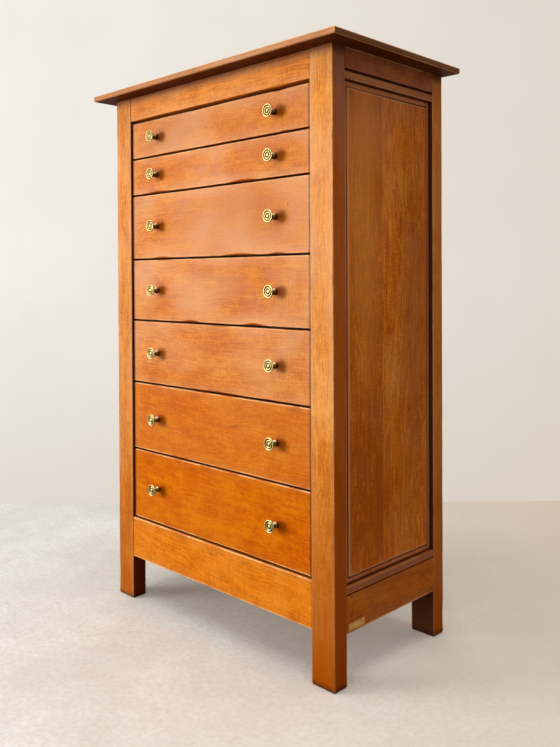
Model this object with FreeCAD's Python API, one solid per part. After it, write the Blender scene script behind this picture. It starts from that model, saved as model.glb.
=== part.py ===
"""Semainier: a tall, narrow chest with one drawer for each day of the week.

Four square posts are joined by mortised rails. Raised-and-fielded panels float in grooves at the
sides, boards close the back in a rebate, and a thin top board oversails the frame. Each drawer is a
dovetailed box whose front laps the dividers and hides them, and it runs on side strips.

Millimetres. The origin is on the floor under the middle of the top board, +X is to the right of
someone facing the drawers, +Y is to the back and +Z is up. Pieces that come in pairs are modelled
at the right (+X) and mirrored to the left.
"""
import FreeCAD, Part
import math
import os

# ---------------------------------------------------------------- frame: posts, rails and top
carcass_width = 800.0           # over the posts
carcass_depth = 415.0           # over the posts
post_width = 66.0               # along X
post_depth = 41.0               # along Y
foot_chamfer = 3.0              # round the lower end of each post
arris_easing = 1.0              # small flat on the sharp edges

top_thickness = 16.0
top_side_overhang = 45.0
top_front_overhang = 45.0
top_rear_overhang = 10.0
top_edge_radius = 5.0           # upper and lower arris

front_rail_thickness = 24.0
front_rail_setback = 1.0        # behind the faces of the posts
front_top_rail_height = 64.0
apron_underside = 119.0         # above the floor
apron_height = 108.0

side_rail_thickness = 24.0
side_rail_underside = 116.0     # above the floor
side_bottom_rail_height = 100.0
side_top_rail_height = 67.0

rear_rail_thickness = 22.0
rear_top_rail_height = 64.0
rear_bottom_rail_height = 96.0

tenon_thickness = 9.0
tenon_length = 26.0
tenon_shoulder = 12.0           # of a rail's outer edge, above or below its tenon
tenon_fit = 0.1                 # round a tenon in its mortise
tenon_end_gap = 1.0             # at the bottom of a mortise

# ---------------------------------------------------------------- moulding and panel of the sides
moulding_width = 15.0           # strip along a rail's panel edge
moulding_start_drop = 0.5       # of the strip's face at the quirk
moulding_lip_drop = 2.5         # of the strip's face at the panel
top_rail_quirk = 6.0            # width
bottom_rail_quirk = 3.0
quirk_depth = 5.0

panel_recess = 9.5              # from the post's face to the panel's border beside the field
panel_back_to_border = 9.5      # thickness beside the field
panel_edge_thickness = 7.5      # thickness at the edge, in the groove
panel_tongue = 9.0              # depth of the panel in its grooves
panel_border = 18.0             # between the frame and the raised field
field_height = 2.5              # of the raised field above the border
field_bevel = 2.0
panel_fit = 0.15                # each side of the tongue
panel_edge_gap = 1.5            # left for the wood to move

# ---------------------------------------------------------------- back
back_rebate_width = 10.0        # along X, in the rear posts
back_rebate_depth = 10.0        # along Y
back_board_thickness = 9.0
back_board_count = 5
back_board_gap = 1.0

# ---------------------------------------------------------------- drawer fronts, lowest first
drawer_front_heights = (185.0, 179.0, 165.0, 161.0, 170.0, 95.0, 95.0)
drawer_front_thickness = 20.0
drawer_front_setback = 5.5      # behind the faces of the posts
drawer_side_gap = 3.5           # between a front and a post
drawer_gap = 5.0                # between two fronts, and above the apron
top_rail_gap = 8.0              # between the highest front and the top rail

# ---------------------------------------------------------------- dividers, runners and guides
divider_height = 19.0
divider_depth = 40.0
divider_clearance = 0.4         # behind the closed fronts
divider_tenon_length = 12.0
divider_tenon_shoulder = 4.0
divider_tenon_thickness = 10.0  # along Y
runner_ledge = 20.0             # inside the drawer sides' outer faces
runner_tenon = 10.0             # length
runner_tenon_thickness = 7.0
runner_tenon_width = 14.0
runner_clearance = 1.0          # to the side rails
guide_width = 20.0
guide_height = 20.0
guide_clearance = 0.5           # beside a drawer
running_clearance = 0.3         # under a drawer
kicking_clearance = 3.0         # over a drawer's sides
drawer_rear_clearance = 20.0    # to the back boards

# ---------------------------------------------------------------- drawer boxes
drawer_side_thickness = 12.0
drawer_back_thickness = 12.0
drawer_back_drop = 8.0          # of the back below the top of the sides
drawer_bottom_thickness = 8.0
drawer_bottom_lift = 10.0       # of the bottom above the lower edge of the sides
bottom_groove_depth = 6.0
bottom_fit = 0.1                # over and under the bottom in its groove
bottom_edge_gap = 0.5
dovetail_lap = 7.0              # wood left in front of the tails
dovetail_pitch = 50.0           # wanted distance between tails
dovetail_fewest = 2             # tails at a corner
dovetail_share = 0.62           # of the pitch, at the root of a tail
dovetail_slope = 1.0 / 6.0
dovetail_fit = 0.05

# ---------------------------------------------------------------- knobs
knob_spacing = 444.0
knob_head_radius = 15.5
knob_head_edge = 2.2            # thickness of the rim
knob_reach = 25.5               # from the front to the face of the head
knob_foot_radius = 8.3
knob_foot_length = 10.0         # down to the neck
knob_foot_collar = 6.0          # of that, the straight part
knob_neck_radius = 3.5

touching = 1e-6                 # two places nearer than this are one

# ---------------------------------------------------------------- places worked out from the sizes
half_width = carcass_width / 2
opening_half = half_width - post_width
top_depth = carcass_depth + top_front_overhang + top_rear_overhang
front_y = top_front_overhang - top_depth / 2            # front faces of the posts
rear_y = front_y + carcass_depth                        # rear faces of the posts
front_post_back = front_y + post_depth
rear_post_front = rear_y - post_depth

drawer_count = len(drawer_front_heights)
drawer_bottoms = [apron_underside + apron_height + drawer_gap]
for height in drawer_front_heights[:-1]:
    drawer_bottoms.append(drawer_bottoms[-1] + height + drawer_gap)
fronts_top = drawer_bottoms[-1] + drawer_front_heights[-1]
top_rail_underside = fronts_top + top_rail_gap
post_height = top_rail_underside + front_top_rail_height

# A divider is centred on the gap below each front, and one more on the gap under the top rail.
divider_middles = [bottom - drawer_gap / 2 for bottom in drawer_bottoms]
divider_middles.append(fronts_top + top_rail_gap / 2)

side_opening_low = side_rail_underside + side_bottom_rail_height
side_opening_high = post_height - side_top_rail_height
side_rail_inner_x = half_width - side_rail_thickness
panel_border_x = half_width - panel_recess
panel_back_x = panel_border_x - panel_back_to_border
panel_mouth_x = panel_back_x + panel_edge_thickness + (
    (panel_back_to_border - panel_edge_thickness) * panel_tongue / (panel_tongue + panel_border))
panel_groove_depth = panel_tongue + panel_edge_gap

back_board_front = rear_y - back_rebate_depth
rear_rail_front = back_board_front - rear_rail_thickness

drawer_half = opening_half - drawer_side_gap
drawer_side_inner = drawer_half - drawer_side_thickness
front_face_y = front_y + drawer_front_setback
front_back_y = front_face_y + drawer_front_thickness
tail_tip_y = front_face_y + dovetail_lap
drawer_rear_y = back_board_front - drawer_rear_clearance
drawer_back_front_y = drawer_rear_y - drawer_back_thickness
divider_front = front_back_y + divider_clearance
divider_back = divider_front + divider_depth
runner_outer_x = side_rail_inner_x - runner_clearance
runner_inner_x = drawer_half - runner_ledge
guide_inner_x = drawer_half + guide_clearance


def block(x_low, x_high, y_low, y_high, z_low, z_high):
    """A square-edged board between two corners."""
    corner = FreeCAD.Vector(x_low, y_low, z_low)
    return Part.makeBox(x_high - x_low, y_high - y_low, z_high - z_low, corner)


def grown(bounds, fit):
    """The bounds of a board, let out by a fit on every side."""
    x_low, x_high, y_low, y_high, z_low, z_high = bounds
    return (x_low - fit, x_high + fit, y_low - fit, y_high + fit, z_low - fit, z_high + fit)


def mirrored(shape):
    """The left-hand copy of a right-hand piece."""
    return shape.mirror(FreeCAD.Vector(0, 0, 0), FreeCAD.Vector(1, 0, 0))


def pair(shape):
    """A right-hand piece and its left-hand copy."""
    return [shape, mirrored(shape)]


def prism(points, run):
    """A closed outline pushed along a vector."""
    return Part.Face(Part.makePolygon(points + [points[0]])).extrude(run)


def save(name, solids):
    """Write one node, which is one solid or a group of separate solids."""
    shape = solids[0] if len(solids) == 1 else Part.makeCompound(solids)
    shape.exportStep("parts/" + name + ".step")


def edges_along(shape, direction):
    """The straight edges of a shape that run along an axis."""
    found = []
    for edge in shape.Edges:
        run = edge.Vertexes[-1].Point - edge.Vertexes[0].Point
        if abs(abs(run.dot(direction)) - run.Length) < touching < run.Length:
            found.append(edge)
    return found


def eased_front(board):
    """A board with the four arrises of its front face eased."""
    face_y = board.BoundBox.YMin
    arrises = [e for e in board.Edges if abs(e.BoundBox.YMax - face_y) < touching]
    return board.makeChamfer(arris_easing, arrises)


# ---------------------------------------------------------------- tenons, shared by rail and post

def front_rail_tenon(z_low, z_high):
    """Bounds of the right-hand tenon of a front rail."""
    middle = front_y + front_rail_setback + front_rail_thickness / 2
    return (opening_half, opening_half + tenon_length, middle - tenon_thickness / 2,
            middle + tenon_thickness / 2, z_low + tenon_shoulder, z_high - tenon_shoulder)


def rear_rail_tenon(z_low, z_high):
    """Bounds of the right-hand tenon of a rear rail."""
    middle = rear_rail_front + rear_rail_thickness / 2
    return (opening_half, opening_half + tenon_length, middle - tenon_thickness / 2,
            middle + tenon_thickness / 2, z_low + tenon_shoulder, z_high - tenon_shoulder)


def side_rail_tenon(z_low, z_high, at_front):
    """Bounds of a side rail's tenon, which stops short of the panel's groove."""
    middle = half_width - side_rail_thickness / 2
    y_ends = (front_post_back - tenon_length, front_post_back)
    if not at_front:
        y_ends = (rear_post_front, rear_post_front + tenon_length)
    return (middle - tenon_thickness / 2, middle + tenon_thickness / 2, y_ends[0], y_ends[1],
            z_low, z_high)


def side_tenon_heights():
    """Lower and upper ends of the tenons of the lower and the upper side rail."""
    inner_shoulder = panel_groove_depth + tenon_end_gap
    return ((side_rail_underside + tenon_shoulder, side_opening_low - inner_shoulder),
            (side_opening_high + inner_shoulder, post_height - tenon_shoulder))


def divider_tenon(middle):
    """Bounds of the right-hand tenon of the divider at a height."""
    half = divider_height / 2 - divider_tenon_shoulder
    y_high = front_post_back - tenon_end_gap
    return (opening_half, opening_half + divider_tenon_length, y_high - divider_tenon_thickness,
            y_high, middle - half, middle + half)


def runner_front_tenon(middle):
    """Bounds of the stub that holds a runner in the back of its divider."""
    x_low = (runner_inner_x + opening_half - runner_tenon_width) / 2
    return (x_low, x_low + runner_tenon_width, divider_back - runner_tenon, divider_back,
            middle - runner_tenon_thickness / 2, middle + runner_tenon_thickness / 2)


def runner_rear_tenon(middle):
    """Bounds of the stub that holds a runner in the rear post."""
    x_low = (runner_outer_x + opening_half - runner_tenon_width) / 2
    return (x_low, x_low + runner_tenon_width, rear_post_front, rear_post_front + runner_tenon,
            middle - runner_tenon_thickness / 2, middle + runner_tenon_thickness / 2)


def mortise(bounds, deeper_along):
    """The hole for a tenon: let out by the fit, and deeper at its far end."""
    hole = list(grown(bounds, tenon_fit))
    if deeper_along == "+x":
        hole[1] += tenon_end_gap
    if deeper_along == "-y":
        hole[2] -= tenon_end_gap
    if deeper_along == "+y":
        hole[3] += tenon_end_gap
    return block(*hole)


# ---------------------------------------------------------------- frame

def bare_post(y_low, eased_y):
    """A right-hand post with its foot chamfered and its outer arrises eased."""
    post = block(opening_half, half_width, y_low, y_low + post_depth, 0, post_height)
    foot = [e for e in post.Edges if e.BoundBox.ZMax < touching]
    post = post.makeChamfer(foot_chamfer, foot)
    upright = []
    for edge in edges_along(post, FreeCAD.Vector(0, 0, 1)):
        at = edge.Vertexes[0].Point
        if abs(at.y - eased_y) < touching or abs(at.x - half_width) < touching:
            upright.append(edge)
    return post.makeChamfer(arris_easing, upright)


def panel_groove_in_post(y_mouth, run):
    """The upright groove for a panel's edge, from the post's mouth along a signed depth."""
    y_low, y_high = sorted((y_mouth, y_mouth + run * panel_groove_depth))
    return block(panel_back_x - panel_fit, panel_mouth_x + panel_fit, y_low, y_high,
                 side_opening_low - panel_groove_depth, side_opening_high + panel_groove_depth)


def front_post():
    post = bare_post(front_y, front_y)
    holes = [panel_groove_in_post(front_post_back, -1)]
    apron_top = apron_underside + apron_height
    holes.append(mortise(front_rail_tenon(apron_underside, apron_top), "+x"))
    holes.append(mortise(front_rail_tenon(top_rail_underside, post_height), "+x"))
    for z_low, z_high in side_tenon_heights():
        holes.append(mortise(side_rail_tenon(z_low, z_high, True), "-y"))
    for middle in divider_middles:
        holes.append(mortise(divider_tenon(middle), "+x"))
    return post.cut(holes)


def rear_post():
    post = bare_post(rear_post_front, rear_y)
    holes = [panel_groove_in_post(rear_post_front, 1)]
    holes.append(block(opening_half - arris_easing, opening_half + back_rebate_width,
                       back_board_front, rear_y + arris_easing, apron_underside, post_height))
    for z_low, z_high in rear_rail_levels():
        holes.append(mortise(rear_rail_tenon(z_low, z_high), "+x"))
    for z_low, z_high in side_tenon_heights():
        holes.append(mortise(side_rail_tenon(z_low, z_high, False), "+y"))
    for middle in divider_middles:
        holes.append(mortise(runner_rear_tenon(middle), "+y"))
    return post.cut(holes)


def front_rail(z_low, z_high):
    """A rail flush with the front posts, less its setback."""
    y_low = front_y + front_rail_setback
    board = block(-opening_half, opening_half, y_low, y_low + front_rail_thickness, z_low, z_high)
    return eased_front(board).fuse(pair(block(*front_rail_tenon(z_low, z_high)))).removeSplitter()


def rear_rail_levels():
    """Lower and upper edges of the two rear rails."""
    return ((apron_underside, apron_underside + rear_bottom_rail_height),
            (post_height - rear_top_rail_height, post_height))


def rear_rail(z_low, z_high):
    """A rail that carries the back boards."""
    board = block(-opening_half, opening_half, rear_rail_front, back_board_front, z_low, z_high)
    return board.fuse(pair(block(*rear_rail_tenon(z_low, z_high)))).removeSplitter()


def side_rail(panel_edge_z, height, upward, quirk_width, tenon_heights):
    """A side rail with a quirked moulding worked along its panel edge.

    The outline is drawn by distance from the panel edge: upward is 1 for the rail above the
    panel and -1 for the rail below it.
    """
    section = [
        (half_width, height),
        (half_width, moulding_width + quirk_width),
        (half_width - quirk_depth, moulding_width + quirk_width),
        (half_width - quirk_depth, moulding_width),
        (half_width - moulding_start_drop, moulding_width),
        (half_width - moulding_lip_drop, 0),
        (panel_mouth_x + panel_fit, 0),
        (panel_mouth_x + panel_fit, panel_groove_depth),
        (panel_back_x - panel_fit, panel_groove_depth),
        (panel_back_x - panel_fit, 0),
        (side_rail_inner_x, 0),
        (side_rail_inner_x, height),
    ]
    points = [FreeCAD.Vector(x, front_post_back, panel_edge_z + upward * rise)
              for x, rise in section]
    rail = prism(points, FreeCAD.Vector(0, rear_post_front - front_post_back, 0))
    z_low, z_high = tenon_heights
    tenons = [block(*side_rail_tenon(z_low, z_high, at_front)) for at_front in (True, False)]
    return rail.fuse(tenons).removeSplitter()


def rectangle(x, inset):
    """An upright rectangle at x, drawn in by an inset from the frame's inner edges."""
    y_low = front_post_back + inset
    y_high = rear_post_front - inset
    z_low = side_opening_low + inset
    z_high = side_opening_high - inset
    corners = [FreeCAD.Vector(x, y_low, z_low), FreeCAD.Vector(x, y_high, z_low),
               FreeCAD.Vector(x, y_high, z_high), FreeCAD.Vector(x, y_low, z_high)]
    return Part.makePolygon(corners + [corners[0]])


def side_panel():
    """A raised-and-fielded panel: thin edges, a sloping border, a step, and a flat field."""
    edge = -panel_tongue
    edge_x = panel_back_x + panel_edge_thickness
    field_x = panel_border_x + field_height
    slab = Part.makeLoft([rectangle(panel_back_x, edge), rectangle(edge_x, edge)], True, True)
    border = Part.makeLoft([rectangle(edge_x, edge), rectangle(panel_border_x, panel_border)],
                           True, True)
    field = Part.makeLoft([rectangle(panel_border_x, panel_border),
                           rectangle(field_x, panel_border + field_bevel)], True, True)
    return slab.fuse([border, field]).removeSplitter()


def back_boards():
    """Upright boards laid side by side in the rebate, over the rear rails."""
    half_span = opening_half + back_rebate_width - back_board_gap
    pitch = (2 * half_span + back_board_gap) / back_board_count
    boards = []
    for number in range(back_board_count):
        x_low = -half_span + number * pitch
        boards.append(block(x_low, x_low + pitch - back_board_gap, back_board_front,
                            back_board_front + back_board_thickness, apron_underside, post_height))
    return boards


def top_board():
    """The thin oversailing top, with its upper and lower arrises rounded."""
    half_span = half_width + top_side_overhang
    board = block(-half_span, half_span, -top_depth / 2, top_depth / 2,
                  post_height, post_height + top_thickness)
    rims = [e for e in board.Edges if e.BoundBox.ZLength < touching]
    return board.makeFillet(min(top_edge_radius, 0.45 * top_thickness), rims)


# ---------------------------------------------------------------- inside the carcass

def divider(middle):
    """A flat rail behind a gap between two fronts, tenoned into the posts."""
    z_low = middle - divider_height / 2
    board = block(-opening_half, opening_half, divider_front, divider_back,
                  z_low, z_low + divider_height)
    board = board.fuse(pair(block(*divider_tenon(middle)))).removeSplitter()
    return board.cut(pair(mortise(runner_front_tenon(middle), "-y")))


def runner(middle):
    """The right-hand strip that a drawer side slides on, held by a stub at each end."""
    z_low = middle - divider_height / 2
    strip = block(runner_inner_x, runner_outer_x, divider_back, rear_post_front,
                  z_low, z_low + divider_height)
    stubs = [block(*runner_front_tenon(middle)), block(*runner_rear_tenon(middle))]
    return strip.fuse(stubs).removeSplitter()


def guide(middle):
    """The right-hand strip on a runner that keeps a drawer straight."""
    z_low = middle + divider_height / 2
    return block(guide_inner_x, guide_inner_x + guide_width, front_post_back, rear_post_front,
                 z_low, z_low + guide_height)


# ---------------------------------------------------------------- drawers

def box_levels(number):
    """Lower and upper edge of a drawer's sides, between the dividers below and above it."""
    z_low = divider_middles[number] + divider_height / 2 + running_clearance
    z_high = divider_middles[number + 1] - divider_height / 2 - kicking_clearance
    return z_low, z_high


def bottom_levels(number):
    """Under and upper side of a drawer's bottom."""
    z_low = box_levels(number)[0] + drawer_bottom_lift
    return z_low, z_low + drawer_bottom_thickness


def back_levels(number):
    """Lower and upper edge of a drawer's back, which stands on the bottom."""
    return bottom_levels(number)[1] + bottom_fit, box_levels(number)[1] - drawer_back_drop


def dovetails(y_root, y_tip, z_low, z_high, fit):
    """The tails at the right-hand end of a joint, wider at the tip than at the root."""
    count = max(dovetail_fewest, round((z_high - z_low) / dovetail_pitch))
    pitch = (z_high - z_low) / count
    root_half = pitch * dovetail_share / 2 + fit
    tip_half = root_half + abs(y_tip - y_root) * dovetail_slope
    tip = y_tip + math.copysign(fit, y_tip - y_root)
    tails = []
    for number in range(count):
        middle = z_low + (number + 0.5) * pitch
        outline = [FreeCAD.Vector(drawer_side_inner - fit, y, z) for y, z in (
            (y_root, middle - root_half), (tip, middle - tip_half),
            (tip, middle + tip_half), (y_root, middle + root_half))]
        tails.append(prism(outline, FreeCAD.Vector(drawer_side_thickness + 2 * fit, 0, 0)))
    return tails


def front_tails(number, fit):
    z_low, z_high = box_levels(number)
    return dovetails(front_back_y, tail_tip_y, z_low, z_high, fit)


def back_tails(number, fit):
    z_low, z_high = back_levels(number)
    return dovetails(drawer_back_front_y, drawer_rear_y, z_low, z_high, fit)


def bottom_groove(number, x_low, x_high, y_low, y_high):
    z_low, z_high = bottom_levels(number)
    return block(x_low, x_high, y_low, y_high, z_low - bottom_fit, z_high + bottom_fit)


def drawer_front(number):
    """A board that laps the dividers, with sockets for the tails and a groove for the bottom."""
    z_low = drawer_bottoms[number]
    z_high = z_low + drawer_front_heights[number]
    board = eased_front(block(-drawer_half, drawer_half, front_face_y, front_back_y,
                              z_low, z_high))
    groove_half = drawer_side_inner + bottom_groove_depth
    cuts = [bottom_groove(number, -groove_half, groove_half,
                          front_back_y - bottom_groove_depth, front_back_y + bottom_fit)]
    for tail in front_tails(number, dovetail_fit):
        cuts += pair(tail)
    return board.cut(cuts)


def drawer_side(number):
    """The right-hand side: tails at both ends and a groove for the bottom."""
    z_low, z_high = box_levels(number)
    board = block(drawer_side_inner, drawer_half, front_back_y, drawer_rear_y, z_low, z_high)
    back_low, back_high = back_levels(number)
    joint = block(drawer_side_inner, drawer_half, drawer_back_front_y, drawer_rear_y,
                  back_low - dovetail_fit, back_high + dovetail_fit)
    pins = joint.cut(back_tails(number, 0))
    board = board.cut(pins).fuse(front_tails(number, 0)).removeSplitter()
    return board.cut(bottom_groove(number, drawer_side_inner,
                                   drawer_side_inner + bottom_groove_depth,
                                   tail_tip_y, drawer_rear_y))


def drawer_back(number):
    """The back, cut for the tails of both sides."""
    z_low, z_high = back_levels(number)
    board = block(-drawer_half, drawer_half, drawer_back_front_y, drawer_rear_y, z_low, z_high)
    cuts = []
    for tail in back_tails(number, dovetail_fit):
        cuts += pair(tail)
    return board.cut(cuts)


def drawer_bottom(number):
    """A board slid in from behind, under the back."""
    z_low, z_high = bottom_levels(number)
    half = drawer_side_inner + bottom_groove_depth - bottom_edge_gap
    return block(-half, half, front_back_y - bottom_groove_depth + bottom_edge_gap,
                 drawer_rear_y, z_low, z_high)


def knob():
    """A turned knob standing on z = 0: a swelling foot, a thin neck and a flat round head."""
    rim = knob_reach - knob_head_edge
    profile = [
        (0, 0),
        (knob_foot_radius, 0),
        (knob_foot_radius, knob_foot_collar),
        (knob_neck_radius, knob_foot_length),
        (knob_neck_radius, rim),
        (knob_head_radius, rim),
        (knob_head_radius, knob_reach),
        (0, knob_reach),
    ]
    points = [FreeCAD.Vector(radius, 0, z) for radius, z in profile]
    outline = Part.Face(Part.makePolygon(points + [points[0]]))
    return outline.revolve(FreeCAD.Vector(0, 0, 0), FreeCAD.Vector(0, 0, 1), 360)


def drawer_knobs(number):
    """Two knobs at half the height of the front, standing on its face."""
    z_middle = drawer_bottoms[number] + drawer_front_heights[number] / 2
    piece = knob()
    piece.rotate(FreeCAD.Vector(0, 0, 0), FreeCAD.Vector(1, 0, 0), 90)
    piece.translate(FreeCAD.Vector(knob_spacing / 2, front_face_y, z_middle))
    return pair(piece)


# ---------------------------------------------------------------- the nodes

def save_carcass():
    apron_top = apron_underside + apron_height
    low_tenons, high_tenons = side_tenon_heights()
    low_rear, high_rear = rear_rail_levels()
    in_pairs = {
        "front_{}_post": front_post(),
        "rear_{}_post": rear_post(),
        "{}_side_bottom_rail": side_rail(side_opening_low, side_bottom_rail_height, -1,
                                         bottom_rail_quirk, low_tenons),
        "{}_side_top_rail": side_rail(side_opening_high, side_top_rail_height, 1,
                                      top_rail_quirk, high_tenons),
        "{}_side_panel": side_panel(),
    }
    for name, piece in in_pairs.items():
        save(name.format("right"), [piece])
        save(name.format("left"), [mirrored(piece)])
    save("front_top_rail", [front_rail(top_rail_underside, post_height)])
    save("front_apron", [front_rail(apron_underside, apron_top)])
    save("rear_bottom_rail", [rear_rail(*low_rear)])
    save("rear_top_rail", [rear_rail(*high_rear)])
    save("back_boards", back_boards())
    save("top_board", [top_board()])
    save("drawer_dividers", [divider(middle) for middle in divider_middles])
    strips = []
    for middle in divider_middles:
        strips += pair(runner(middle))
    for middle in divider_middles[:-1]:
        strips += pair(guide(middle))
    save("drawer_runners", strips)


def save_drawer(number):
    name = "drawer_{}_".format(drawer_count - number)
    side = drawer_side(number)
    save(name + "front", [drawer_front(number)])
    save(name + "right_side", [side])
    save(name + "left_side", [mirrored(side)])
    save(name + "back", [drawer_back(number)])
    save(name + "bottom", [drawer_bottom(number)])
    save(name + "knobs", drawer_knobs(number))


os.makedirs("parts", exist_ok=True)
save_carcass()
for drawer in range(drawer_count):
    save_drawer(drawer)
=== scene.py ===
"""A semainier, the seven-drawer week chest, in waxed cherry with turned brass knobs."""

import math

import bmesh
import bpy
from mathutils import Matrix, Vector, noise


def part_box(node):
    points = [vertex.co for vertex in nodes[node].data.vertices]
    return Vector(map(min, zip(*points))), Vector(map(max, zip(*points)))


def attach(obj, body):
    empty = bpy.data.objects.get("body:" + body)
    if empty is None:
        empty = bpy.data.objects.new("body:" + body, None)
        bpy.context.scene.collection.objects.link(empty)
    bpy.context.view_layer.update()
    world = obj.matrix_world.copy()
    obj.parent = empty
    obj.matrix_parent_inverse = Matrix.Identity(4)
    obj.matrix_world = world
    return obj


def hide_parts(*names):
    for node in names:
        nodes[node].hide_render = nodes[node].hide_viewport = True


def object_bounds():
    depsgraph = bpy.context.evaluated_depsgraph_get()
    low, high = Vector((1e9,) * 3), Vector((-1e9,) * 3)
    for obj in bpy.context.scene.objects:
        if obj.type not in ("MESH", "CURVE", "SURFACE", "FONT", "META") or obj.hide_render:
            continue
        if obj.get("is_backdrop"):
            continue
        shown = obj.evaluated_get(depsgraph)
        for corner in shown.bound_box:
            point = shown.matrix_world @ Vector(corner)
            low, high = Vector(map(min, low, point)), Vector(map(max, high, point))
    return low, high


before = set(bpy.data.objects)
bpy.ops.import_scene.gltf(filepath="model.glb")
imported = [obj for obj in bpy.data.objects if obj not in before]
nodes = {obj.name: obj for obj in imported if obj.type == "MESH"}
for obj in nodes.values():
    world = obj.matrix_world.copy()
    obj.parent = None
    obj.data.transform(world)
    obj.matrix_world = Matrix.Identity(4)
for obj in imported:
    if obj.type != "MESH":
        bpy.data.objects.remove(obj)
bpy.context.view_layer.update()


# --- Posts -----------------------------------------------------------------------------------
# Four cherry posts, 66 by 41 mm, sawn square, planed by hand and waxed; they run down as feet.
# The outer arrises are worn round unevenly by years of handling and moving.

MM = 0.001
# The wood from light to dark, the milky bloom of old wax that also stands for painted sheen, the
# dirt and painted shade in corners, and two strengths.
CHERRY = dict(pale="E29036", ripe="D2761A", deep="BE5E08", bloom_and_sheen="D08E5C", grime_and_shade="1E0600",
              haze=0.5, sheen=0.1)
POST_CHERRY = dict(CHERRY, pale="EE9E44", ripe="DE8824", deep="C66E10", bloom_and_sheen="D4945C", haze=0.35)
DARKER_POST = dict(POST_CHERRY, pale="E29236", ripe="D27C1C", deep="B86408")
LOW_DARKENING, MOP_DIRT = "A04800", "2A1408"  # darker towards the floor, and what wet mops leave on the feet
BARE_LIT_ARRIS, BARE_LIT_STEP = "F6C28A", "F0AE7C"  # cherry with its wax and colour rubbed off, also painted as a highlight
CHERRY_REACH = 0.28  # of the figure on either side of its mean, from deep to pale
HANDLED_REACH = 30 * MM  # of the haze that hands leave, from an arris
DUST_AND_SHADE_REACH = 9 * MM  # of the dust and painted shade, out of a corner
DARKENED_TO, MOPPED_TO, WET_TO = 600 * MM, 16 * MM, 2 * MM  # above the floor
ANY_DEPTH = 1e3  # a mark on a face counts only across and up
WOOD_IOR, WAX_TINT = 1.45, "FFF2DE"
ALONG = {"x": (0, 0, 0), "y": (0, 0, -math.pi / 2), "z": (0, math.pi / 2, 0)}  # brings the grain to x
RING_PITCH, LINE_WANDER = 6 * MM, 70 * MM  # of the growth lines
WAVE_PITCH = math.pi / 10  # of a wave texture's bands at scale 1
EASED, STATION, SLACK = 1 * MM, 7 * MM, 0.05 * MM  # an eased arris, a step along it, a tolerance
WELD = 0.01 * MM  # corners closer than this are one
WANDER = 24  # per metre: how fast the wear of an arris changes along it
ROUNDING = 0.74  # draws the middle of a worn arris out, so that it is round


def linear(code):
    """The linear RGBA of an sRGB hex colour."""
    shares = [int(code[i:i + 2], 16) / 255 for i in (0, 2, 4)]
    return [s / 12.92 if s <= 0.04045 else ((s + 0.055) / 1.055) ** 2.4 for s in shares] + [1.0]


def add(tree, kind, links, out=0, **settings):
    """Adds a node with its settings, joins or sets its inputs, and gives one or more outputs."""
    made = tree.nodes.new("ShaderNode" + kind)
    for name, value in settings.items():
        setattr(made, name, value)
    for place, value in links.items():
        if isinstance(value, bpy.types.NodeSocket):
            tree.links.new(value, made.inputs[place])
        else:
            made.inputs[place].default_value = value
    if out is None:
        return made
    return [made.outputs[o] for o in out] if isinstance(out, list) else made.outputs[out]


def new_material(name):
    """An empty material and its node tree."""
    material = bpy.data.materials.new(name)
    material.use_nodes = True
    material.node_tree.nodes.clear()
    return material, material.node_tree


def glued_up(tree, place, across, joint, width):
    """A colour of its own for each board of a panel, across an axis, from one joint on."""
    along = add(tree, "SeparateXYZ", {0: place}, across)
    from_joint = add(tree, "Math", {0: along, 1: joint}, operation="SUBTRACT")
    boards = add(tree, "Math", {0: from_joint, 1: width}, operation="DIVIDE")
    number = add(tree, "Math", {0: boards}, operation="FLOOR")
    return add(tree, "TexWhiteNoise", {"W": number}, "Color", noise_dimensions="1D")


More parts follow.
